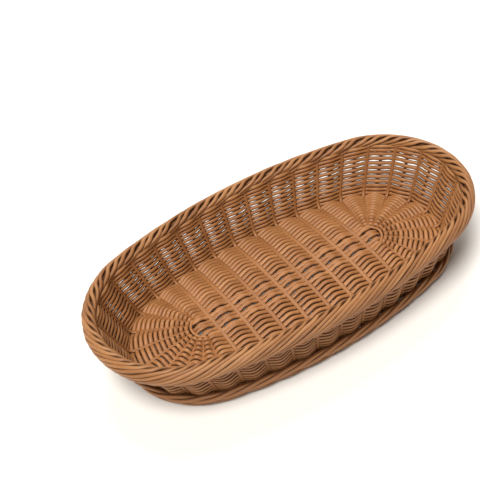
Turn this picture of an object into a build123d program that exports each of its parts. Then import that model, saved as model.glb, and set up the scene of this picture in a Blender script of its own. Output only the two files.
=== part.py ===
"""Oval woven cane basket: base ribs and weavers, side stakes, wall weavers, foot border and rolled top border.
Millimetres, Z up, X along the length, origin on the floor under the middle of the basket."""

import math
import os

from build123d import *

# ---- driving dimensions -------------------------------------------------------
STRAND = 3.8            # diameter of one round weaver strand
CLEAR = 0.35            # air between neighbouring layers
RIB_W, RIB_T = 4.4, 3.0  # width and thickness of one rib or stake

# Middle surface of the weaving, as four-arc ovals: half length, half width, end radius
EDGE = (145.5, 73.5, 63.0)   # where floor turns into wall
TOP = (164.8, 82.2, 69.8)    # at height Z_TOP
PANEL = (94.0, 15.6, 13.6)   # round the centre panel
Z_EDGE = 7.6            # weaver centre height at the rim of the floor
DOME = 9.0              # how much the middle of the floor stands higher
Z_WALL0 = 12.6          # lowest wall weaver
Z_TOP = 57.0            # height at which TOP applies

BASE_ROWS = 12
WALL_ROWS = 11
WALL_PITCH_Z = 4.0
RIB_STEP = 21.1         # spacing of like ribs along the length
LONG_PITCH = 4.9        # spacing of the long stakes of the panel
LONG_HALF = (83.5, 87.8, 89.6)  # half lengths of the long stakes, outer pair first

FOOT_R = 3.45           # foot rope radius
FOOT_FLAT = 0.55        # how much of the rope is flattened where it stands
WALE_R = 2.1
CREST_R = 3.4
BAND_R = 2.3
HEIGHT = 62.0


# ---- ovals ----------------------------------------------------------------
def side_radius(a, b, r):
    return ((a - r) ** 2 + b * b - r * r) / (2 * (b - r))


def tangent_angle(a, b, r):
    return math.atan2(a - r, side_radius(a, b, r) - b)


def oval_wire(a, b, r, z):
    """Closed wire of four tangent arcs, which starts at the middle of the +Y side."""
    R = side_radius(a, b, r)
    th = tangent_angle(a, b, r)

    def side(w, sy):
        return (R * math.sin(w), sy * (b - R + R * math.cos(w)), z)

    def end(sx, w):
        return (sx * (a - r + r * math.cos(w)), r * math.sin(w), z)

    join = math.pi / 2 - th
    edges = [
        Edge.make_three_point_arc(side(0, 1), side(th / 2, 1), side(th, 1)),
        Edge.make_three_point_arc(end(1, join), end(1, 0), end(1, -join)),
        Edge.make_three_point_arc(side(th, -1), side(0, -1), side(-th, -1)),
        Edge.make_three_point_arc(end(-1, -join), end(-1, 0), end(-1, join)),
        Edge.make_three_point_arc(side(-th, 1), side(-th / 2, 1), side(0, 1)),
    ]
    return Wire(edges)


def mix(p, q, t):
    return tuple(u + (v - u) * t for u, v in zip(p, q))


def grown(oval, d):
    return (oval[0] + d, oval[1] + d, oval[2] + d)


def ring(oval, z, radius):
    """Round strand bent into a closed oval."""
    path = oval_wire(*oval, z)
    start = Plane(origin=path @ 0, z_dir=path % 0)
    return sweep(start * Circle(radius), path=path)


def oval_y(oval, x):
    """Half width of an oval at x, on its side or end arc."""
    a, b, r = oval
    R, th = side_radius(a, b, r), tangent_angle(a, b, r)
    if abs(x) <= R * math.sin(th):
        return b - R + math.sqrt(R * R - x * x)
    return math.sqrt(max(r * r - (abs(x) - a + r) ** 2, 0))


def oval_len(oval):
    """Lengths of half a side arc and half an end arc."""
    a, b, r = oval
    th = tangent_angle(a, b, r)
    return side_radius(a, b, r) * th, r * (math.pi / 2 - th)


def oval_at(oval, s):
    """Point and outward normal at arc length s from the middle of the +Y side, towards +X."""
    a, b, r = oval
    R, th = side_radius(a, b, r), tangent_angle(a, b, r)
    ls, le = oval_len(oval)
    q = ls + le
    s = s % (4 * q)
    k = int(s // q)
    v = s - k * q
    if k % 2:
        v = q - v
    if v <= ls:
        w = v / R
        p, n = (R * math.sin(w), b - R + R * math.cos(w)), (math.sin(w), math.cos(w))
    else:
        w = math.pi / 2 - th - (v - ls) / r
        p, n = (a - r + r * math.cos(w), r * math.sin(w)), (math.cos(w), math.sin(w))
    sy = 1 if k in (0, 3) else -1
    sx = 1 if k in (0, 1) else -1
    return (sx * p[0], sy * p[1]), (sx * n[0], sy * n[1])


def stations():
    """Arc lengths of all ribs on the EDGE oval, as (s, kind) in order, where kind is "upper" or "lower"."""
    ls, le = oval_len(EDGE)
    q = ls + le

    def s_of_x(x):
        lo, hi = 0.0, q
        for _ in range(60):
            mid = (lo + hi) / 2
            if oval_at(EDGE, mid)[0][0] < x:
                lo = mid
            else:
                hi = mid
        return lo

    side = []
    for i in range(-8, 9):
        x = i * RIB_STEP / 2
        side.append((math.copysign(s_of_x(abs(x)), x), "lower" if i % 2 == 0 else "upper"))
    last = side[-1][0]
    gap = (2 * q - 2 * last) / 18
    ends = [(last + gap * j, "upper" if j % 2 else "lower") for j in range(1, 18)]
    first_half = side + ends
    return first_half + [(s + 2 * q, k) for s, k in first_half], q


# ---- floor --------------------------------------------------------------------
def z_row(b):
    """Weaver centre height of the row that is b wide at the middle."""
    R = (EDGE[1] ** 2 + DOME ** 2) / (2 * DOME)
    return Z_EDGE + math.sqrt(R * R - b * b) - (R - DOME)


def base_row(k):
    oval = mix(PANEL, EDGE, (k + 0.72) / (BASE_ROWS + 0.1))
    return ring(oval, z_row(oval[1]), STRAND / 2)


def bar(path, width, thick, up):
    """Flat bar with rounded edges swept along a path; up is the direction of its thickness."""
    tangent = path % 0
    side_dir = tangent.cross(up)
    plane = Plane(origin=path @ 0, x_dir=side_dir, z_dir=tangent)
    profile = plane * RectangleRounded(width, thick, thick * 0.42)
    return sweep(profile, path=path)


OFF = STRAND / 2 + RIB_T / 2 + CLEAR


def cross_rib(x, kind):
    sign = 1 if kind == "upper" else -1
    ye = oval_y(EDGE, x) - (6.4 if kind == "upper" else 4.6)
    dz = sign * OFF
    full = oval_y(EDGE, x)
    R = (full ** 2 + DOME ** 2) / (2 * DOME)
    ze = Z_EDGE + math.sqrt(R * R - ye * ye) - (R - DOME)
    path = Edge.make_three_point_arc((x, -ye, ze + dz), (x, 0, Z_EDGE + DOME + dz), (x, ye, ze + dz))
    return bar(path, RIB_W, RIB_T, Vector(0, 0, 1))


def fan_rib(s, kind):
    """Rib from the end of the panel out to the edge of the floor."""
    (ox, oy), _ = oval_at(EDGE, s)
    ls, le = oval_len(EDGE)
    q = ls + le
    side, _k = stations()
    last = side[16][0]
    k = s % (2 * q)
    frac = (k - last) / (2 * q - 2 * last)
    il, ie = oval_len(PANEL)
    iq = il + ie
    lo, hi = 0.0, iq
    for _ in range(60):
        mid = (lo + hi) / 2
        if oval_at(PANEL, mid)[0][0] < 4 * RIB_STEP:
            lo = mid
        else:
            hi = mid
    inner_s = lo + frac * (2 * iq - 2 * lo) + (2 * iq if s > 2 * q else 0)
    (ix, iy), _ = oval_at(PANEL, inner_s)
    sign = 1 if kind == "upper" else -1
    dz = sign * OFF

    def at(t):
        b = PANEL[1] + (EDGE[1] - PANEL[1]) * t
        return (ix + (ox - ix) * t, iy + (oy - iy) * t, z_row(b) + dz)

    length = math.hypot(ox - ix, oy - iy)
    t0, t1 = 0.10, 1 - (6.4 if kind == "upper" else 4.6) / length
    path = Edge.make_three_point_arc(at(t0), at((t0 + t1) / 2), at(t1))
    return bar(path, RIB_W * 0.9, RIB_T, Vector(0, 0, 1))


# ---- wall ---------------------------------------------------------------------
def wall_oval(z):
    return mix(EDGE, TOP, (z - Z_EDGE) / (Z_TOP - Z_EDGE))


def side_stake(s, kind, z0, z1):
    """Straight stake on the inside or outside of the wall, leaning with it."""
    q = sum(oval_len(EDGE))
    qt = sum(oval_len(TOP))
    (bx, by), n0 = oval_at(EDGE, s)
    (tx, ty), n1 = oval_at(TOP, s / q * qt)
    sign = -1 if kind == "upper" else 1
    lean = math.atan2(math.hypot(tx - bx, ty - by), Z_TOP - Z_EDGE)
    off = (STRAND / 2 + RIB_T / 2 + 0.35) / math.cos(lean)

    def at(z):
        t = (z - Z_EDGE) / (Z_TOP - Z_EDGE)
        nx, ny = n0[0] + (n1[0] - n0[0]) * t, n0[1] + (n1[1] - n0[1]) * t
        d = math.hypot(nx, ny)
        return Vector(
            bx + (tx - bx) * t + sign * off * nx / d,
            by + (ty - by) * t + sign * off * ny / d,
            z,
        )

    p, r = at(z0), at(z1)
    path = Edge.make_line(p, r)
    nx, ny = n0[0] + n1[0], n0[1] + n1[1]
    tangent = (r - p).normalized()
    out = Vector(nx, ny, 0)
    out = (out - tangent * out.dot(tangent)).normalized()
    plane = Plane(origin=p, x_dir=tangent.cross(out), z_dir=tangent)
    return extrude(plane * RectangleRounded(RIB_W, RIB_T, RIB_T * 0.42), (r - p).length)


# ---- build --------------------------------------------------------------------
parts = {}

for i in range(6):
    y = (i - 2.5) * LONG_PITCH
    z = Z_EDGE + DOME - 0.12 - (0.06 if abs(y) > 8 else 0.0)
    half = LONG_HALF[min(i, 5 - i)]
    parts[f"base_long_stake_{i + 1}"] = Pos(-half, y, z) * (
        Rot(0, 90, 0) * Cylinder(STRAND / 2, 2 * half, align=(Align.CENTER, Align.CENTER, Align.MIN))
    )

for i in range(8):
    parts[f"base_rib_upper_{i + 1}"] = cross_rib((i - 3.5) * RIB_STEP, "upper")
for i in range(9):
    parts[f"base_rib_lower_{i + 1}"] = cross_rib((i - 4) * RIB_STEP, "lower")

ALL, QUARTER = stations()
HALF = 2 * QUARTER
for name, lo in (("right", 17), ("left", 51)):
    fan = ALL[lo : lo + 17]
    for kind in ("upper", "lower"):
        solids = [fan_rib(s, k) for s, k in fan if k == kind]
        parts[f"base_fan_{kind}_{name}"] = Compound(children=solids)

for name, sx in (("right", 1), ("left", -1)):
    z = Z_EDGE + DOME - 0.5
    arc = Edge.make_three_point_arc(
        (sx * 87.7, -10.2, z), (sx * 93.0, 0, z), (sx * 87.7, 10.2, z)
    )
    start = Plane(origin=arc @ 0, z_dir=arc % 0)
    parts[f"base_end_wrap_{name}"] = sweep(start * Circle(STRAND / 2 - 0.1), path=arc)

for k in range(BASE_ROWS):
    parts[f"base_weaver_{k + 1:02d}"] = base_row(k)

for k in range(WALL_ROWS):
    z = Z_WALL0 + WALL_PITCH_Z * k
    parts[f"wall_weaver_{k + 1:02d}"] = ring(wall_oval(z), z, STRAND / 2)

parts["side_stakes_inner"] = Compound(
    children=[side_stake(s, k, 13.0, 54.6) for s, k in ALL if k == "upper"]
)
parts["side_stakes_outer"] = Compound(
    children=[side_stake(s, k, 13.2, 52.4) for s, k in ALL if k == "lower"]
)

foot_oval = grown(EDGE, 1.5)
foot = ring(foot_oval, FOOT_R - FOOT_FLAT, FOOT_R)
parts["foot_border_rope"] = foot & Pos(0, 0, 50) * Box(500, 500, 100)
parts["foot_border_wale"] = ring(grown(EDGE, 5.0), 9.3, WALE_R)

parts["top_border_crest"] = ring(grown(TOP, 1.4), HEIGHT - CREST_R, CREST_R)
for i, z in enumerate((56.0, 51.1, 46.2)):
    d = STRAND / 2 + RIB_T + 1.5 + BAND_R
    parts[f"top_border_band_{i + 1}"] = ring(grown(wall_oval(z), d), z, BAND_R)

os.makedirs("parts", exist_ok=True)
for name, shape in parts.items():
    export_step(shape, f"parts/{name}.step")
box = Compound(children=[s for s in parts.values()]).bounding_box()
print(len(parts), "nodes", box)
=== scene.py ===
"""Oval woven basket: every strand of the floor, wall and borders as its own tube, in metres, around the CAD frame."""

import math
import random

import bpy
import numpy as np
from mathutils import Matrix


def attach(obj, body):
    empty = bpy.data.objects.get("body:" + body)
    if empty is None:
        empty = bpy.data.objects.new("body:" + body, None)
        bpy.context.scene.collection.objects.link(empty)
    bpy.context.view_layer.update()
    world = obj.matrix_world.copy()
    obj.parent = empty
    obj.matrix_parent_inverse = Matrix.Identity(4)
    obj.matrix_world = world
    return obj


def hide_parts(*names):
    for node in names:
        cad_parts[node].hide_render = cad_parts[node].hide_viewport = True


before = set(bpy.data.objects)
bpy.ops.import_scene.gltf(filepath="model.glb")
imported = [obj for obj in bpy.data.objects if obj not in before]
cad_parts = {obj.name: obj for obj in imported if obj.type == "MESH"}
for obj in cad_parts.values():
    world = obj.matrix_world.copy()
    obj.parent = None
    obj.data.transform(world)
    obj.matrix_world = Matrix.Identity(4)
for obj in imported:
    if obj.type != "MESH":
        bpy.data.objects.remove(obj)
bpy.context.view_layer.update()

MM = 0.001

# ---- the same middle surface as the CAD, in millimetres ---------------------------
EDGE = (145.5, 73.5, 63.0)
TOP = (164.8, 82.2, 69.8)
PANEL = (94.0, 15.6, 13.6)
Z_EDGE, DOME, Z_TOP = 7.6, 9.0, 57.0
BASE_ROWS, WALL_ROWS = 12, 11
RIB_STEP = 21.1
LONG_PITCH = 4.9
WAVE = 1.45       # how far a weaver swings to each side of the middle surface
RISE_UP = 0.25    # the weavers lie this far above the middle surface on average
RIB_OFF = 0.04    # rib centre above or below the weavers' mean height
RIB_HALF = (1.9, 0.64)    # half width and half thickness of a flat rib
STAKE_OFF = 0.12
STAKE_HALF = (1.45, 0.62)
BORDER_COUNT = 86
LEAN = math.atan2(TOP[0] - EDGE[0], Z_TOP - Z_EDGE)


def side_radius(a, b, r):
    return ((a - r) ** 2 + b * b - r * r) / (2 * (b - r))


def tangent_angle(a, b, r):
    return math.atan2(a - r, side_radius(a, b, r) - b)


def oval_len(o):
    th = tangent_angle(*o)
    return side_radius(*o) * th, o[2] * (math.pi / 2 - th)


def quarter(o):
    return sum(oval_len(o))


def oval_at(o, s):
    """Points and outward normals at arc lengths s from the middle of the +Y side towards +X."""
    a, b, r = o
    R, th = side_radius(a, b, r), tangent_angle(a, b, r)
    ls, le = oval_len(o)
    q = ls + le
    s = np.mod(np.atleast_1d(np.asarray(s, float)), 4 * q)
    k = np.minimum((s // q).astype(int), 3)
    v = s - k * q
    v = np.where(k % 2 == 1, q - v, v)
    w = v / R
    e = math.pi / 2 - th - (v - ls) / r
    on_side = v <= ls
    px = np.where(on_side, R * np.sin(w), a - r + r * np.cos(e))
    py = np.where(on_side, b - R + R * np.cos(w), r * np.sin(e))
    nx = np.where(on_side, np.sin(w), np.cos(e))
    ny = np.where(on_side, np.cos(w), np.sin(e))
    sy = np.where((k == 0) | (k == 3), 1, -1)
    sx = np.where(k <= 1, 1, -1)
    return np.stack([sx * px, sy * py], 1), np.stack([sx * nx, sy * ny], 1)


def s_of_x(o, x):
    """Arc length on the +Y side where the oval has this x."""
    a, b, r = o
    R, th = side_radius(a, b, r), tangent_angle(a, b, r)
    ls, _ = oval_len(o)
    u = abs(x)
    if u <= R * math.sin(th):
        s = R * math.asin(u / R)
    else:
        w = math.acos(max(-1, min(1, (u - a + r) / r)))
        s = ls + r * (math.pi / 2 - th - w)
    return math.copysign(s, x)


def oval_y(o, x):
    a, b, r = o
    R, th = side_radius(a, b, r), tangent_angle(a, b, r)
    if abs(x) <= R * math.sin(th):
        return b - R + math.sqrt(R * R - x * x)
    return math.sqrt(max(r * r - (abs(x) - a + r) ** 2, 0))


def mix(p, q, t):
    return tuple(u + (v - u) * t for u, v in zip(p, q))


def grown(o, d):
    return (o[0] + d, o[1] + d, o[2] + d)


def z_row(b):
    R = (EDGE[1] ** 2 + DOME ** 2) / (2 * DOME)
    return Z_EDGE + math.sqrt(max(R * R - b * b, 0)) - (R - DOME)


def floor_oval(t):
    return mix(PANEL, EDGE, t)


def row_t(k):
    return (k + 0.72) / (BASE_ROWS + 0.1)


def wall_oval(z):
    return mix(EDGE, TOP, (z - Z_EDGE) / (Z_TOP - Z_EDGE))


# ---- rib stations: 68 all round, even ones below or outside, odd ones above or inside ----
Q = quarter(EDGE)
X_LAST = 4 * RIB_STEP
S_LAST = s_of_x(EDGE, X_LAST)
SIDE_X = [i * RIB_STEP / 2 for i in range(-8, 9)]
STATIONS = [s_of_x(EDGE, x) for x in SIDE_X]
GAP = (2 * Q - 2 * S_LAST) / 18
STATIONS += [S_LAST + GAP * j for j in range(1, 18)]
STATIONS += [s + 2 * Q for s in STATIONS]
COUNT = len(STATIONS)


def fan_line(idx):
    """Inner and outer end, in plan, of the middle line of a fan rib."""
    s = STATIONS[idx]
    outer = oval_at(EDGE, s)[0][0]
    frac = ((s % (2 * Q)) - S_LAST) / (2 * Q - 2 * S_LAST)
    iq = quarter(PANEL)
    lo = s_of_x(PANEL, X_LAST)
    inner_s = lo + frac * (2 * iq - 2 * lo) + (2 * iq if s > 2 * Q else 0)
    inner = oval_at(PANEL, inner_s)[0][0]
    return inner, outer


def is_fan(idx):
    return 17 <= idx % 34


def crossing(o, t, idx):
    """Arc length at which rib idx crosses the floor oval o, which stands at t from panel to edge."""
    q = quarter(o)
    if not is_fan(idx):
        x = SIDE_X[idx % 34]
        if idx >= 34:
            return 2 * q + s_of_x(o, x)
        return s_of_x(o, x)
    inner, outer = fan_line(idx)
    p = inner + (outer - inner) * t
    s = np.linspace(0, 4 * q, 6000, endpoint=False)
    pts, _ = oval_at(o, s)
    return float(s[np.argmin(((pts - p) ** 2).sum(1))])


def crossings(o, t):
    out = []
    q4 = 4 * quarter(o)
    for i in range(COUNT):
        s = crossing(o, t, i)
        while out and s < out[-1]:
            s += q4
        while out and s - out[-1] > q4 / 2:
            s -= q4
        out.append(s)
    return np.array(out)


# ---- strands -------------------------------------------------------------------
def wobble(n, amount, seed, knots=24, closed=True):
    """Smooth small unevenness along a strand."""
    rnd = random.Random(seed)
    base = np.zeros(n)
    x = np.arange(n) / n * 2 * math.pi
    for h in range(1, knots):
        base += rnd.uniform(-1, 1) / math.sqrt(h) * np.sin(h * x + rnd.uniform(0, 6.28))
    return amount * base / 3.2


class Strands:
    """Collects tubes into one mesh."""

    def __init__(self, name):
        self.name = name
        self.verts, self.faces, self.uv, self.tint = [], [], [], []

    def tube(self, pts, up, wide, thick, closed=False, sides=8, tint=0.5):
        pts = np.asarray(pts, float)
        n = len(pts)
        up = np.broadcast_to(np.asarray(up, float), pts.shape)
        if closed:
            tan = np.roll(pts, -1, 0) - np.roll(pts, 1, 0)
        else:
            tan = np.gradient(pts, axis=0)
        tan /= np.linalg.norm(tan, axis=1)[:, None]
        nrm = up - tan * (tan * up).sum(1)[:, None]
        nrm /= np.linalg.norm(nrm, axis=1)[:, None]
        side = np.cross(tan, nrm)
        wide = np.broadcast_to(np.asarray(wide, float), (n,))
        thick = np.broadcast_to(np.asarray(thick, float), (n,))
        seg = np.linalg.norm(np.diff(pts, axis=0), axis=1)
        along = np.concatenate([[0], np.cumsum(seg)])
        ang = -math.pi / 2 + np.arange(sides) * 2 * math.pi / sides
        ca, sa = np.cos(ang), np.sin(ang)

        def ring(p, t, sd, nm, w, h):
            return p[None] + sd[None] * (ca * w)[:, None] + nm[None] * (sa * h)[:, None]

        rings, dist = [], []
        if not closed:
            for e, f in ((0.88, 0.47), (0.5, 0.866)):
                rings.append(ring(pts[0] - tan[0] * thick[0] * e, tan[0], side[0], nrm[0], wide[0] * f, thick[0] * f))
                dist.append(-thick[0] * e)
        for i in range(n):
            rings.append(ring(pts[i], tan[i], side[i], nrm[i], wide[i], thick[i]))
            dist.append(along[i])
        if not closed:
            for e, f in ((0.5, 0.866), (0.88, 0.47)):
                rings.append(ring(pts[-1] + tan[-1] * thick[-1] * e, tan[-1], side[-1], nrm[-1], wide[-1] * f, thick[-1] * f))
                dist.append(along[-1] + thick[-1] * e)
        m = len(rings)
        base = sum(len(v) for v in self.verts)
        self.verts.append(np.concatenate(rings))
        length = along[-1] + (np.linalg.norm(pts[0] - pts[-1]) if closed else 0)
        last = m if closed else m - 1
        for i in range(last):
            j = (i + 1) % m
            u0, u1 = dist[i], (dist[j] if j else length)
            for k in range(sides):
                l = (k + 1) % sides
                self.faces.append((base + i * sides + k, base + i * sides + l, base + j * sides + l, base + j * sides + k))
                v0, v1 = k / sides, (k + 1) / sides
                self.uv.append(((u0, v0), (u0, v1), (u1, v1), (u1, v0)))
        extra = 0
        if not closed:
            tips = [pts[0] - tan[0] * thick[0], pts[-1] + tan[-1] * thick[-1]]
            self.verts.append(np.array(tips))
            extra = 2
            a, b = base + m * sides, base + m * sides + 1
            for k in range(sides):
                l = (k + 1) % sides
                self.faces.append((a, base + l, base + k))
                self.uv.append(((dist[0], 0.5), (dist[0], (k + 1) / sides), (dist[0], k / sides)))
                o = base + (m - 1) * sides
                self.faces.append((b, o + k, o + l))
                self.uv.append(((dist[-1], 0.5), (dist[-1], k / sides), (dist[-1], (k + 1) / sides)))
        self.tint.append(np.full(m * sides + extra, tint))

    def build(self, material, slot, *nodes):
        me = bpy.data.meshes.new(self.name)
        co = np.concatenate(self.verts) * MM
        me.from_pydata([tuple(c) for c in co], [], self.faces)
        me.polygons.foreach_set("use_smooth", [True] * len(me.polygons))
        uv = me.uv_layers.new(name="strand")
        flat = np.array([c for f in self.uv for c in f], np.float32)
        flat[:, 0] *= 0.01
        uv.data.foreach_set("uv", flat.ravel())
        at = me.attributes.new("tint", "FLOAT", "POINT")
        at.data.foreach_set("value", np.concatenate(self.tint).astype(np.float32))
        me.materials.append(material)
        me.update()
        ob = bpy.data.objects.new(self.name, me)
        bpy.context.scene.collection.objects.link(ob)
        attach(ob, "root")
        if nodes:
            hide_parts(*nodes)
        return ob


# ---- materials -------------------------------------------------------------------
def cane(name, dark, mid, light, rough, shade=0.4, grain=1.0):
    """Smooth woven cane: long fine grain, broad mottling, a tint of its own for each strand, soft sheen, and painted
    shade on each strand's flanks.
    """
    mat = bpy.data.materials.new(name)
    mat.use_nodes = True
    nt = mat.node_tree
    nt.nodes.clear()
    N, L = nt.nodes.new, nt.links.new
    out = N("ShaderNodeOutputMaterial")
    bsdf = N("ShaderNodeBsdfPrincipled")
    L(bsdf.outputs[0], out.inputs[0])
    bsdf.inputs["IOR"].default_value = 1.45
    bsdf.inputs["Specular IOR Level"].default_value = 0.36
    bsdf.inputs["Coat Weight"].default_value = 0.05
    bsdf.inputs["Coat Roughness"].default_value = 0.32

    uv = N("ShaderNodeUVMap")
    uv.uv_map = "strand"
    geo = N("ShaderNodeTexCoord")
    tint = N("ShaderNodeAttribute")
    tint.attribute_name = "tint"

    stretch = N("ShaderNodeMapping")
    stretch.inputs["Scale"].default_value = (2.2, 7.0, 1.0)
    L(uv.outputs[0], stretch.inputs[0])
    shift = N("ShaderNodeCombineXYZ")
    times = N("ShaderNodeMath")
    times.operation = "MULTIPLY"
    times.inputs[1].default_value = 97.0
    L(tint.outputs["Fac"], times.inputs[0])
    L(times.outputs[0], shift.inputs[0])
    L(times.outputs[0], shift.inputs[2])
    L(shift.outputs[0], stretch.inputs["Location"])
    streak = N("ShaderNodeTexNoise")
    streak.inputs["Scale"].default_value = 1.6
    streak.inputs["Detail"].default_value = 3.0
    streak.inputs["Roughness"].default_value = 0.6
    L(stretch.outputs[0], streak.inputs["Vector"])

    mottle = N("ShaderNodeTexNoise")
    mottle.inputs["Scale"].default_value = 55.0
    mottle.inputs["Detail"].default_value = 3.0
    L(geo.outputs["Object"], mottle.inputs["Vector"])

    add = N("ShaderNodeMath")
    add.operation = "MULTIPLY_ADD"
    add.inputs[1].default_value = 0.62
    L(tint.outputs["Fac"], add.inputs[0])
    half = N("ShaderNodeMath")
    half.operation = "MULTIPLY_ADD"
    half.inputs[1].default_value = 0.45
    half.inputs[2].default_value = -0.06
    L(streak.outputs["Fac"], half.inputs[0])
    L(half.outputs[0], add.inputs[2])
    more = N("ShaderNodeMath")
    more.operation = "MULTIPLY_ADD"
    more.inputs[1].default_value = 0.5
    L(mottle.outputs["Fac"], more.inputs[0])
    sub = N("ShaderNodeMath")
    sub.operation = "SUBTRACT"
    sub.inputs[1].default_value = 0.25
    L(add.outputs[0], sub.inputs[0])
    L(sub.outputs[0], more.inputs[2])

    ramp = N("ShaderNodeValToRGB")
    el = ramp.color_ramp.elements
    el[0].position, el[0].color = 0.08, (*dark, 1)
    el[1].position, el[1].color = 0.92, (*light, 1)
    m = el.new(0.5)
    m.color = (*mid, 1)
    L(more.outputs[0], ramp.inputs[0])

    # painted shade in the grooves: the flanks of a strand, which face its neighbours, are painted darker than its top
    # and its underside, towards a deep brown, keeping only the fraction shade of the cane colour
    sep = N("ShaderNodeSeparateXYZ")
    L(uv.outputs[0], sep.inputs[0])
    turn = N("ShaderNodeMath")
    turn.operation = "MULTIPLY"
    turn.inputs[1].default_value = 2 * math.pi
    L(sep.outputs["Y"], turn.inputs[0])
    cosv = N("ShaderNodeMath")
    cosv.operation = "COSINE"
    L(turn.outputs[0], cosv.inputs[0])
    mag = N("ShaderNodeMath")
    mag.operation = "ABSOLUTE"
    L(cosv.outputs[0], mag.inputs[0])
    flank_painted_shade = N("ShaderNodeMapRange")
    flank_painted_shade.interpolation_type = "SMOOTHSTEP"
    flank_painted_shade.inputs["From Min"].default_value = 0.05
    flank_painted_shade.inputs["From Max"].default_value = 0.88
    flank_painted_shade.inputs["To Min"].default_value = shade
    flank_painted_shade.inputs["To Max"].default_value = 1.0
    L(mag.outputs[0], flank_painted_shade.inputs["Value"])
    tone = N("ShaderNodeMix")
    tone.data_type = "RGBA"
    # the deep brown of the painted groove shade
    tone.inputs[6].default_value = (dark[0] * 0.16, dark[1] * 0.11, dark[2] * 0.08, 1)
    L(flank_painted_shade.outputs[0], tone.inputs[0])
    L(ramp.outputs[0], tone.inputs[7])
    L(tone.outputs[2], bsdf.inputs["Base Color"])

    rr = N("ShaderNodeMapRange")
    rr.inputs["To Min"].default_value = rough - 0.09
    rr.inputs["To Max"].default_value = rough + 0.11
    L(streak.outputs["Fac"], rr.inputs["Value"])
    dull = N("ShaderNodeMath")
    dull.operation = "MULTIPLY_ADD"
    dull.inputs[1].default_value = -0.35
    dull.inputs[2].default_value = 0.35
    L(flank_painted_shade.outputs[0], dull.inputs[0])
    rough_sum = N("ShaderNodeMath")
    rough_sum.operation = "ADD"
    L(rr.outputs[0], rough_sum.inputs[0])
    L(dull.outputs[0], rough_sum.inputs[1])
    L(rough_sum.outputs[0], bsdf.inputs["Roughness"])

    fine = N("ShaderNodeMapping")
    fine.inputs["Scale"].default_value = (5.0, 22.0, 1.0)
    L(uv.outputs[0], fine.inputs[0])
    L(shift.outputs[0], fine.inputs["Location"])
    fibre = N("ShaderNodeTexNoise")
    fibre.inputs["Scale"].default_value = 1.5
    fibre.inputs["Detail"].default_value = 2.0
    L(fine.outputs[0], fibre.inputs["Vector"])
    bump = N("ShaderNodeBump")
    bump.inputs["Strength"].default_value = 0.28 * grain
    bump.inputs["Distance"].default_value = 0.0006
    L(fibre.outputs["Fac"], bump.inputs["Height"])
    L(bump.outputs[0], bsdf.inputs["Normal"])
    return mat


# the last number of each cane sets its painted groove shade: how much of the cane colour is left on a strand's flanks
WEAVER = cane("weaver_cane", (0.250, 0.096, 0.031), (0.365, 0.153, 0.052), (0.470, 0.222, 0.085), 0.40, 0.06)
# stake_cane is the stake cane darkened as painted shade, to take back the light that the flat tops of the floor ribs
# catch from above; upright_cane is the same cane kept lighter as painted light, for the inner wall stakes, which face
# the light less
STAKE = cane("stake_cane", (0.235, 0.090, 0.029), (0.325, 0.135, 0.046), (0.405, 0.188, 0.071), 0.42, 0.70)
UPRIGHT = cane("upright_cane", (0.262, 0.101, 0.033), (0.360, 0.152, 0.052), (0.450, 0.212, 0.082), 0.45, 0.50)
BORDER = cane("border_cane", (0.238, 0.093, 0.032), (0.352, 0.152, 0.053), (0.448, 0.214, 0.084), 0.40, 0.28)

rnd = random.Random(41)
MADE = []

# ---- floor rows ------------------------------------------------------------------
STEPS = 12  # samples from one rib to the next but one


def row_line(o, t, spread):
    """Arc lengths and rib phases of samples on a floor oval."""
    c = crossings(o, t)
    q4 = 4 * quarter(o)
    ext = np.concatenate([c, [c[0] + q4]])
    per = STEPS // 2
    s, ph, gap = [], [], []
    for i in range(COUNT):
        for j in range(per):
            f = j / per
            s.append(ext[i] + (ext[i + 1] - ext[i]) * f)
            ph.append(i + f)
    gaps = np.diff(ext)
    near = np.minimum(gaps, np.roll(gaps, 1))
    sm = (np.roll(near, 1) + 2 * near + np.roll(near, -1)) / 4
    lim = np.interp(np.array(ph), np.arange(COUNT + 1), np.concatenate([sm, [sm[0]]]))
    return np.array(s), np.array(ph), lim


def floor_row(k):
    t = row_t(k)
    o = floor_oval(t)
    s, ph, lim = row_line(o, t, 0)
    n = len(s)
    amp = np.minimum(WAVE, 0.44 * lim) * (1 + wobble(n, 0.06, 300 + k))
    pts, nrm = oval_at(o, s)
    close = max(0.0, 1 - k / 5) * nrm[:, 1] ** 2      # the first rows close up to the centre panel
    out = wobble(n, 0.16, 500 + k) - 1.5 * close
    z = z_row(o[1]) + RISE_UP + amp * np.cos(math.pi * ph) + wobble(n, 0.10, 700 + k)
    p = np.concatenate([pts + nrm * out[:, None], z[:, None]], 1)
    half = (nrm[:, 0] ** 2 * (EDGE[0] - PANEL[0]) + nrm[:, 1] ** 2 * (EDGE[1] - PANEL[1])) / (BASE_ROWS + 0.1) / 2
    half = half + (0.15 * nrm[:, 1] ** 2 if k < 5 else 0)
    dip = (1 - np.cos(math.pi * ph)) / 2      # 0 over a lower rib, 1 under an upper one
    part = Strands(f"floor_row_{k + 1:02d}")
    part.tube(p, (0, 0, 1), half * (0.82 + 0.07 * nrm[:, 0] ** 2 + (0.16 - 0.06 * nrm[:, 0] ** 2) * dip), 1.85 - 0.35 * dip, closed=True, tint=rnd.uniform(0.15, 0.85))
    part.build(WEAVER, "weaver_cane", f"base_weaver_{k + 1:02d}")


for k in range(BASE_ROWS):
    floor_row(k)

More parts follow.
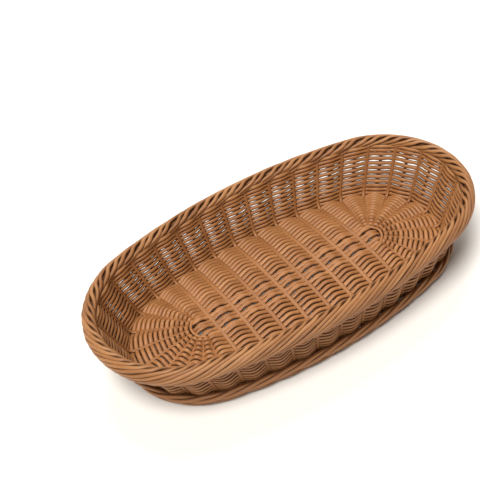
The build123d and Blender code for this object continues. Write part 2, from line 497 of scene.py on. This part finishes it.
# ---- centre panel ---------------------------------------------------------------
LONG_HALF = (84.0, 88.3, 90.4)
for i in range(6):
    y0 = (i - 2.5) * LONG_PITCH
    half = LONG_HALF[min(i, 5 - i)]
    x = np.arange(-half, half + 0.01, half / 52)
    rank = int(abs(y0) // LONG_PITCH)  # 0, 1, 2 outwards
    push = (-1, 1, -1)[rank] * 0.76
    y = math.copysign(1, y0) * (abs(y0) + push * np.cos(math.pi * x / RIB_STEP)) + wobble(len(x), 0.10, 60 + i)
    z = z_row(abs(y0)) + RISE_UP + (WAVE - 0.25) * np.cos(2 * math.pi * x / RIB_STEP)
    tail = np.clip((np.abs(x) - (half - 4)) / 4, 0, 1)
    z -= 0.8 * tail
    u = np.abs((x / RIB_STEP + 0.5) % 1 - 0.5) * RIB_STEP      # distance from the nearest lower rib
    flat = 2.44 + 0.50 * np.exp(-(u / 1.9) ** 2) + 0.18 * np.clip((u - 6.2) / 2, 0, 1) - 0.2 * tail
    flat = flat - 0.52 * np.exp(-((u - 4.2) / 1.4) ** 2)      # dark holes beside each lower rib
    part = Strands(f"panel_strand_{i + 1}")
    part.tube(np.stack([x, y, z], 1), (0, 0, 1), flat, 1.6 - 0.1 * tail, sides=10, tint=rnd.uniform(0.2, 0.8))
    part.build(WEAVER, "weaver_cane", f"base_long_stake_{i + 1}")


def surface_z(x, y):
    """Height of the floor's middle surface on a cross rib."""
    y = abs(y)
    if y <= oval_y(PANEL, x):
        return z_row(y * PANEL[1] / max(oval_y(PANEL, x), 1e-6))
    lo, hi = 0.0, 1.15
    for _ in range(40):
        m = (lo + hi) / 2
        if oval_y(floor_oval(m), x) < y:
            lo = m
        else:
            hi = m
    return z_row(floor_oval(lo)[1])


A_END = 0.915   # where an upper rib turns into the corner
B_END = 0.955


def rib_mid(idx, t):
    """Middle surface under rib idx at t from panel to edge."""
    o = floor_oval(t)
    if is_fan(idx):
        inner, outer = fan_line(idx)
        p = inner + (outer - inner) * t
    else:
        x = SIDE_X[idx % 34]
        if idx >= 34:
            x = -x
            p = np.array([x, -oval_y(o, x)])
        else:
            p = np.array([x, oval_y(o, x)])
    return np.array([p[0], p[1], z_row(o[1])])


def cross_rib(x, kind, name, node):
    sign = 1 if kind == "upper" else -1
    t_end = A_END if kind == "upper" else B_END
    ye = oval_y(floor_oval(t_end), x)
    ys = np.linspace(-ye, ye, 46)
    z = np.array([surface_z(x, y) for y in ys]) + RISE_UP + sign * RIB_OFF
    xs = x + wobble(len(ys), 0.30, int(900 + x * 10), knots=12)
    xs[0] = xs[-1] = x
    part = Strands(name)
    wide = RIB_HALF[0] * (1 + wobble(len(ys), 0.13, int(1900 + x * 10), knots=18))
    part.tube(np.stack([xs, ys, z], 1), (0, 0, 1), wide, RIB_HALF[1], sides=10, tint=rnd.uniform(0.3, 0.75))
    part.build(STAKE, "stake_cane", node)


for i in range(8):
    cross_rib((i - 3.5) * RIB_STEP, "upper", f"floor_rib_upper_{i + 1}", f"base_rib_upper_{i + 1}")
for i in range(9):
    cross_rib((i - 4) * RIB_STEP, "lower", f"floor_rib_lower_{i + 1}", f"base_rib_lower_{i + 1}")

for name, lo in (("right", 17), ("left", 51)):
    for kind in ("upper", "lower"):
        part = Strands(f"fan_ribs_{kind}_{name}")
        odd = 1 if kind == "upper" else 0
        for idx in range(lo, lo + 17):
            if idx % 2 != odd:
                continue
            sign = 1 if odd else -1
            t = np.linspace(0.045, A_END if odd else B_END, 30)
            p = np.array([rib_mid(idx, v) for v in t])
            near = np.clip(t / 0.34, 0, 1)
            p[:, 2] += RISE_UP + sign * RIB_OFF - (0.10 + 0.24 * np.clip((t - 0.1) / 0.2, 0, 1) * np.clip((0.9 - t) / 0.1, 0, 1))
            part.tube(p, (0, 0, 1), 0.70 + 0.60 * np.clip(t / 0.75, 0, 1), 0.46 + 0.10 * near, tint=rnd.uniform(0.1, 0.5))
        part.build(STAKE, "stake_cane", f"base_fan_{kind}_{name}")

for name, sx in (("right", 1), ("left", -1)):
    w = np.radians(np.linspace(-62, 62, 26))
    cx = sx * 80.5
    z = z_row(12) + 0.55 + 0.45 * np.cos(w * 6)
    z[:2] -= (1.0, 0.4)
    z[-2:] -= (0.4, 1.0)
    part = Strands(f"panel_wrap_{name}")
    part.tube(np.stack([cx + sx * 12.7 * np.cos(w), 12.7 * np.sin(w), z], 1), (0, 0, 1), 1.35, 1.35, tint=0.6)
    part.build(WEAVER, "weaver_cane", f"base_end_wrap_{name}")

# ---- wall ------------------------------------------------------------------------
WALL_Z = [13.7, 17.3, 21.3, 25.5, 29.7, 33.9, 38.1, 42.3, 46.3, 49.8, 53.2]


def out_dir(n):
    """Normal of the leaning wall, pointing out of the basket, from the normal in plan."""
    return np.concatenate([n * math.cos(LEAN), np.full((len(n), 1), -math.sin(LEAN))], 1)


def wall_line(z0, k):
    o = wall_oval(z0)
    scale = quarter(o) / Q
    st = np.array(STATIONS + [STATIONS[0] + 4 * Q]) * scale
    per = STEPS // 2
    ph = np.arange(COUNT * per) / per
    s = np.interp(ph, np.arange(COUNT + 1), st)
    n = len(s)
    pts, nrm = oval_at(o, s)
    d = -WAVE * (1 + wobble(n, 0.07, 1300 + k)) * np.cos(math.pi * ph) + wobble(n, 0.10, 1400 + k)
    z = np.full(n, z0) + wobble(n, 0.30, 1500 + k, knots=34) + 0.22 * np.cos(math.pi * ph)
    p = np.concatenate([pts, z[:, None]], 1) + out_dir(nrm) * d[:, None]
    c = np.cos(math.pi * ph)
    near = np.clip((c - 0.05) / 0.75, 0, 1)
    far = np.clip((-c - 0.2) / 0.7, 0, 1)
    tall = 1.63 + 0.29 * near * near * (3 - 2 * near) + 0.34 * far * far * (3 - 2 * far)   # pressed flat where it bears on a stake
    return p, out_dir(nrm), tall


for k in range(WALL_ROWS):
    part = Strands(f"wall_row_{k + 1:02d}")
    for z0 in ((10.2, WALL_Z[0]) if k == 0 else (WALL_Z[k],)):  # the lowest row is a pair
        p, up, tall = wall_line(z0, k)
        part.tube(p, up, tall, 1.5, closed=True, tint=rnd.uniform(0.15, 0.85))
    part.build(WEAVER, "weaver_cane", f"wall_weaver_{k + 1:02d}")


def stake_line(idx, z, off):
    out, ups = [], []
    for v in z:
        o = wall_oval(v)
        p, n = oval_at(o, STATIONS[idx] * quarter(o) / Q)
        d = out_dir(n)[0]
        out.append(np.array([p[0][0], p[0][1], v]) + d * off)
        ups.append(d)
    return np.array(out), np.array(ups)


inner = Strands("wall_stakes_inner")
outer = Strands("wall_stakes_outer")
for idx in range(COUNT):
    if idx % 2:
        wall, ups = stake_line(idx, np.linspace(15.5, 56.0, 14), 0.38 - STAKE_OFF)      # the weavers swell over its edges
        f1 = rib_mid(idx, A_END) + (0, 0, RISE_UP + RIB_OFF)
        f0 = rib_mid(idx, A_END - 0.03) + (0, 0, RISE_UP + RIB_OFF)
        d0 = (f1 - f0) / np.linalg.norm(f1 - f0)
        d1 = (wall[1] - wall[0]) / np.linalg.norm(wall[1] - wall[0])
        gap = np.linalg.norm(wall[0] - f1)
        u = np.linspace(0, 1, 9)[:-1, None]
        h0, h1 = 2 * u ** 3 - 3 * u ** 2 + 1, u ** 3 - 2 * u ** 2 + u
        h2, h3 = -2 * u ** 3 + 3 * u ** 2, u ** 3 - u ** 2
        corner = h0 * f1 + h1 * d0 * gap * 1.15 + h2 * wall[0] + h3 * d1 * gap * 1.15
        line = np.concatenate([corner, wall])
        up = np.concatenate([(1 - u) * np.array([0, 0, 1.0]) + u * -ups[0], -ups])
        n = len(line)
        across = np.cross(up, np.gradient(line, axis=0))
        across /= np.linalg.norm(across, axis=1)[:, None]
        line = line + across * (wobble(n, 0.38, 1300 + idx, knots=9) * np.clip(np.arange(n) / 4, 0, 1))[:, None]
        inner.tube(line, up, STAKE_HALF[0] * (1 + wobble(n, 0.15, 1400 + idx, knots=10)), STAKE_HALF[1], tint=rnd.uniform(0.2, 0.8))
    else:
        wall, ups = stake_line(idx, np.linspace(9.5, 53.0, 14), STAKE_OFF - 0.1)
        # the outer stakes take only the darkest tints of the stake cane, as painted shade on the outside of the wall
        # under the rim
        outer.tube(wall, ups, 1.5, 0.65, tint=rnd.uniform(0.0, 0.35))
inner.build(UPRIGHT, "stake_cane", "side_stakes_inner")
outer.build(STAKE, "stake_cane", "side_stakes_outer")

# ---- foot border -------------------------------------------------------------------


def rope(name, node, o, z0, deep, tall, radius, turns, hand, seed):
    """Three strands twisted together, drawn as one line that goes three times round."""
    L = 4 * quarter(o)
    n = int(3 * L / 2.2)
    u = np.arange(n) / n * 3 * L
    ph = 2 * math.pi * turns * u / (3 * L)
    pts, nrm = oval_at(o, u)
    d = deep * np.cos(ph)
    z = z0 + hand * tall * np.sin(ph)
    p = np.concatenate([pts + nrm * d[:, None], z[:, None]], 1)
    up = np.concatenate([nrm, np.zeros((n, 1))], 1)
    part = Strands(name)
    part.tube(p, up, radius, radius, closed=True, tint=seed)
    part.build(BORDER, "border_cane", node)


rope("foot_wale", "foot_border_wale", grown(EDGE, 5.4), 9.9, 1.5, 2.3, 1.85, 34, -1, 0.45)
rope("foot_rope", "foot_border_rope", grown(EDGE, 2.2), 3.45, 1.7, 1.55, 1.85, 28, 1, 0.5)

# ---- top border ----------------------------------------------------------------------
PROFILE = np.array([
    (-1.6, 52.5), (-0.6, 55.6), (0.3, 58.0), (2.3, 59.5), (4.9, 59.7), (7.0, 58.4),
    (8.3, 55.9), (8.2, 52.9), (7.3, 49.8), (6.0, 46.8), (3.6, 44.2),
])


def catmull(P, n):
    """Smooth line through points, with the running length at each sample."""
    Q2 = np.concatenate([[2 * P[0] - P[1]], P, [2 * P[-1] - P[-2]]])
    out = []
    for i in range(len(P) - 1):
        a, b, c, d = Q2[i:i + 4]
        u = np.linspace(0, 1, 20, endpoint=False)[:, None]
        out.append(0.5 * (2 * b + (c - a) * u + (2 * a - 5 * b + 4 * c - d) * u ** 2 + (3 * b - a - 3 * c + d) * u ** 3))
    out.append(P[-1:])
    out = np.concatenate(out)
    w = np.concatenate([[0], np.cumsum(np.linalg.norm(np.diff(out, axis=0), axis=1))])
    return out, w


CURVE, CW = catmull(PROFILE, 400)
# stations along one strand: low inside the rim, a steep climb over the crest, the long run down outside
RUN = np.array([0, 1, 2.1, 2.75, 4, 5, 6, 7, 8, 9])
RISE = np.array([0, 3.0, 6.2, 9.9, 12.9, 15.9, 19.1, 22.4, 25.9, CW[-1]])
LIFT = np.array([-1.4, -0.4, 0.7, 0.35, -0.3, 0.1, 0.3, 0.3, 0.0, -0.7])
WIDTH = np.array([1.3, 1.55, 1.75, 1.6, 1.5, 1.5, 1.5, 1.5, 1.45, 1.35])
L_TOP = 4 * quarter(TOP)
SPACE = L_TOP / BORDER_COUNT


def border_strand(part, i):
    m = np.linspace(0, RUN[-1], 100)
    # smooth rise between the listed stations
    kx = RUN
    w = np.interp(m, kx, RISE)
    w = np.convolve(np.pad(w, 2, mode="edge"), np.ones(5) / 5, mode="valid")   # rounds the corners of the path
    d = np.interp(w, CW, CURVE[:, 0])
    z = np.interp(w, CW, CURVE[:, 1])
    dd = np.interp(w + 0.05, CW, CURVE[:, 0]) - np.interp(w - 0.05, CW, CURVE[:, 0])
    dz = np.interp(w + 0.05, CW, CURVE[:, 1]) - np.interp(w - 0.05, CW, CURVE[:, 1])
    ln = np.hypot(dd, dz)
    nd = -dz / ln
    nz = dd / ln
    lift = np.interp(m, kx, LIFT)
    lift = np.convolve(np.pad(lift, 3, mode="edge"), np.ones(7) / 7, mode="valid") + rnd.uniform(-0.18, 0.18)
    wide = np.interp(m, kx, WIDTH) * rnd.uniform(0.94, 1.14)
    d = d + nd * lift
    z = z + nz * lift
    s = SPACE * (i + m + rnd.uniform(-0.16, 0.16))
    pts, nrm = oval_at(TOP, s)
    p = np.concatenate([pts + nrm * d[:, None], z[:, None]], 1)
    up = np.concatenate([nrm * nd[:, None], nz[:, None]], 1)
    part.tube(p, up, wide, 1.42, sides=10, tint=rnd.uniform(0.15, 0.9))


def border_root(part, i):
    """The same strand's lower end, which comes up from outside and passes under the crest to the inside."""
    m = np.linspace(0, 3.0, 22)
    w = np.interp(m, [0, 3.0], [15.0, 1.2])
    d = np.interp(w, CW, CURVE[:, 0])
    z = np.interp(w, CW, CURVE[:, 1])
    dd = np.interp(w + 0.05, CW, CURVE[:, 0]) - np.interp(w - 0.05, CW, CURVE[:, 0])
    dz = np.interp(w + 0.05, CW, CURVE[:, 1]) - np.interp(w - 0.05, CW, CURVE[:, 1])
    ln = np.hypot(dd, dz)
    nd = -dz / ln
    nz = dd / ln
    deep = np.interp(m, [0, 0.6, 2.4, 3.0], [-2.8, -3.6, -3.6, -2.6])
    pts, nrm = oval_at(TOP, SPACE * (i + m))
    p = np.concatenate([pts + nrm * (d + nd * deep)[:, None], (z + nz * deep)[:, None]], 1)
    up = np.concatenate([nrm * nd[:, None], nz[:, None]], 1)
    # the under-layer takes the darkest tints of the border cane, as painted shade under the crest, so the notches in
    # the crest look dark
    part.tube(p, up, 2.6, 1.25, tint=rnd.uniform(0.0, 0.15))


NODES = ["top_border_crest", "top_border_band_1", "top_border_band_2", "top_border_band_3"]
for j in range(4):
    part = Strands(f"border_strands_{j + 1}")
    for i in range(j, BORDER_COUNT, 4):
        border_strand(part, i)
        border_root(part, i)
    part.build(BORDER, "border_cane", NODES[j])

# ---- floor, light, camera ------------------------------------------------------------
floor_mesh = bpy.data.meshes.new("ground")
S = 6.0
floor_mesh.from_pydata([(-S, -S, 0), (S, -S, 0), (S, S, 0), (-S, S, 0)], [], [(0, 1, 2, 3)])
ground = bpy.data.objects.new("ground", floor_mesh)
bpy.context.scene.collection.objects.link(ground)
gm = bpy.data.materials.new("ground_paper")
gm.use_nodes = True
gb = gm.node_tree.nodes["Principled BSDF"]
gb.inputs["Base Color"].default_value = (0.86, 0.84, 0.80, 1)
gb.inputs["Roughness"].default_value = 0.9
floor_mesh.materials.append(gm)

world = bpy.data.worlds.new("studio")
bpy.context.scene.world = world
world.use_nodes = True
bg = world.node_tree.nodes["Background"]
bg.inputs["Color"].default_value = (1.0, 0.965, 0.925, 1)
bg.inputs["Strength"].default_value = 0.145
# the backdrop itself is seen pale, while it lights the object only softly
wt = world.node_tree
pale = wt.nodes.new("ShaderNodeBackground")
pale.inputs["Color"].default_value = (1.0, 1.0, 0.99, 1)
pale.inputs["Strength"].default_value = 1.0
seen = wt.nodes.new("ShaderNodeLightPath")
both = wt.nodes.new("ShaderNodeMixShader")
wt.links.new(seen.outputs["Is Camera Ray"], both.inputs[0])
wt.links.new(bg.outputs[0], both.inputs[1])
wt.links.new(pale.outputs[0], both.inputs[2])
wt.links.new(both.outputs[0], next(n for n in wt.nodes if n.type == "OUTPUT_WORLD").inputs[0])


def sun(name, toward, strength, angle, color=(1, 1, 1)):
    """Soft parallel light that comes from the direction given."""
    li = bpy.data.lights.new(name, "SUN")
    li.energy = strength
    li.angle = math.radians(angle)
    li.color = color
    ob = bpy.data.objects.new(name, li)
    bpy.context.scene.collection.objects.link(ob)
    z = np.array(toward, float)
    z /= np.linalg.norm(z)
    x = np.cross((0, 1, 0), z)
    x /= np.linalg.norm(x)
    y = np.cross(z, x)
    ob.matrix_world = Matrix((
        (x[0], y[0], z[0], z[0] * 2), (x[1], y[1], z[1], z[1] * 2), (x[2], y[2], z[2], z[2] * 2), (0, 0, 0, 1)))
    return ob


sun("key", (-0.45, -0.30, 1.30), 3.65, 28, (1.0, 0.985, 0.96))
sun("back", (0.45, 0.75, 1.1), 1.30, 34, (1.0, 0.99, 0.97))
sun("front", (-0.2, -1.5, 0.6), 0.27, 40, (1.0, 0.97, 0.94))

az, el, roll, dist = 0.472, 0.78, -0.152, 0.8851
target = np.array([0, 0, 0.035])
fwd = np.array([math.sin(az) * math.cos(el), math.cos(az) * math.cos(el), -math.sin(el)])
right = np.array([math.cos(az), -math.sin(az), 0])
upv = np.cross(right, fwd)
r2 = math.cos(roll) * right + math.sin(roll) * upv
u2 = -math.sin(roll) * right + math.cos(roll) * upv
loc = target - fwd * dist
cam = bpy.data.cameras.new("camera")
cam.sensor_width = 36
cam.lens = 1078.3 * 36 / 480
cam.shift_x = -46.676 / 480
cam.shift_y = 24.554 / 480
cam.clip_start = 0.01
cam.clip_end = 50
cob = bpy.data.objects.new("camera", cam)
bpy.context.scene.collection.objects.link(cob)
cob.matrix_world = Matrix((
    (r2[0], u2[0], -fwd[0], loc[0]), (r2[1], u2[1], -fwd[1], loc[1]), (r2[2], u2[2], -fwd[2], loc[2]), (0, 0, 0, 1)))
bpy.context.scene.camera = cob
bpy.context.scene.view_settings.view_transform = "Standard"
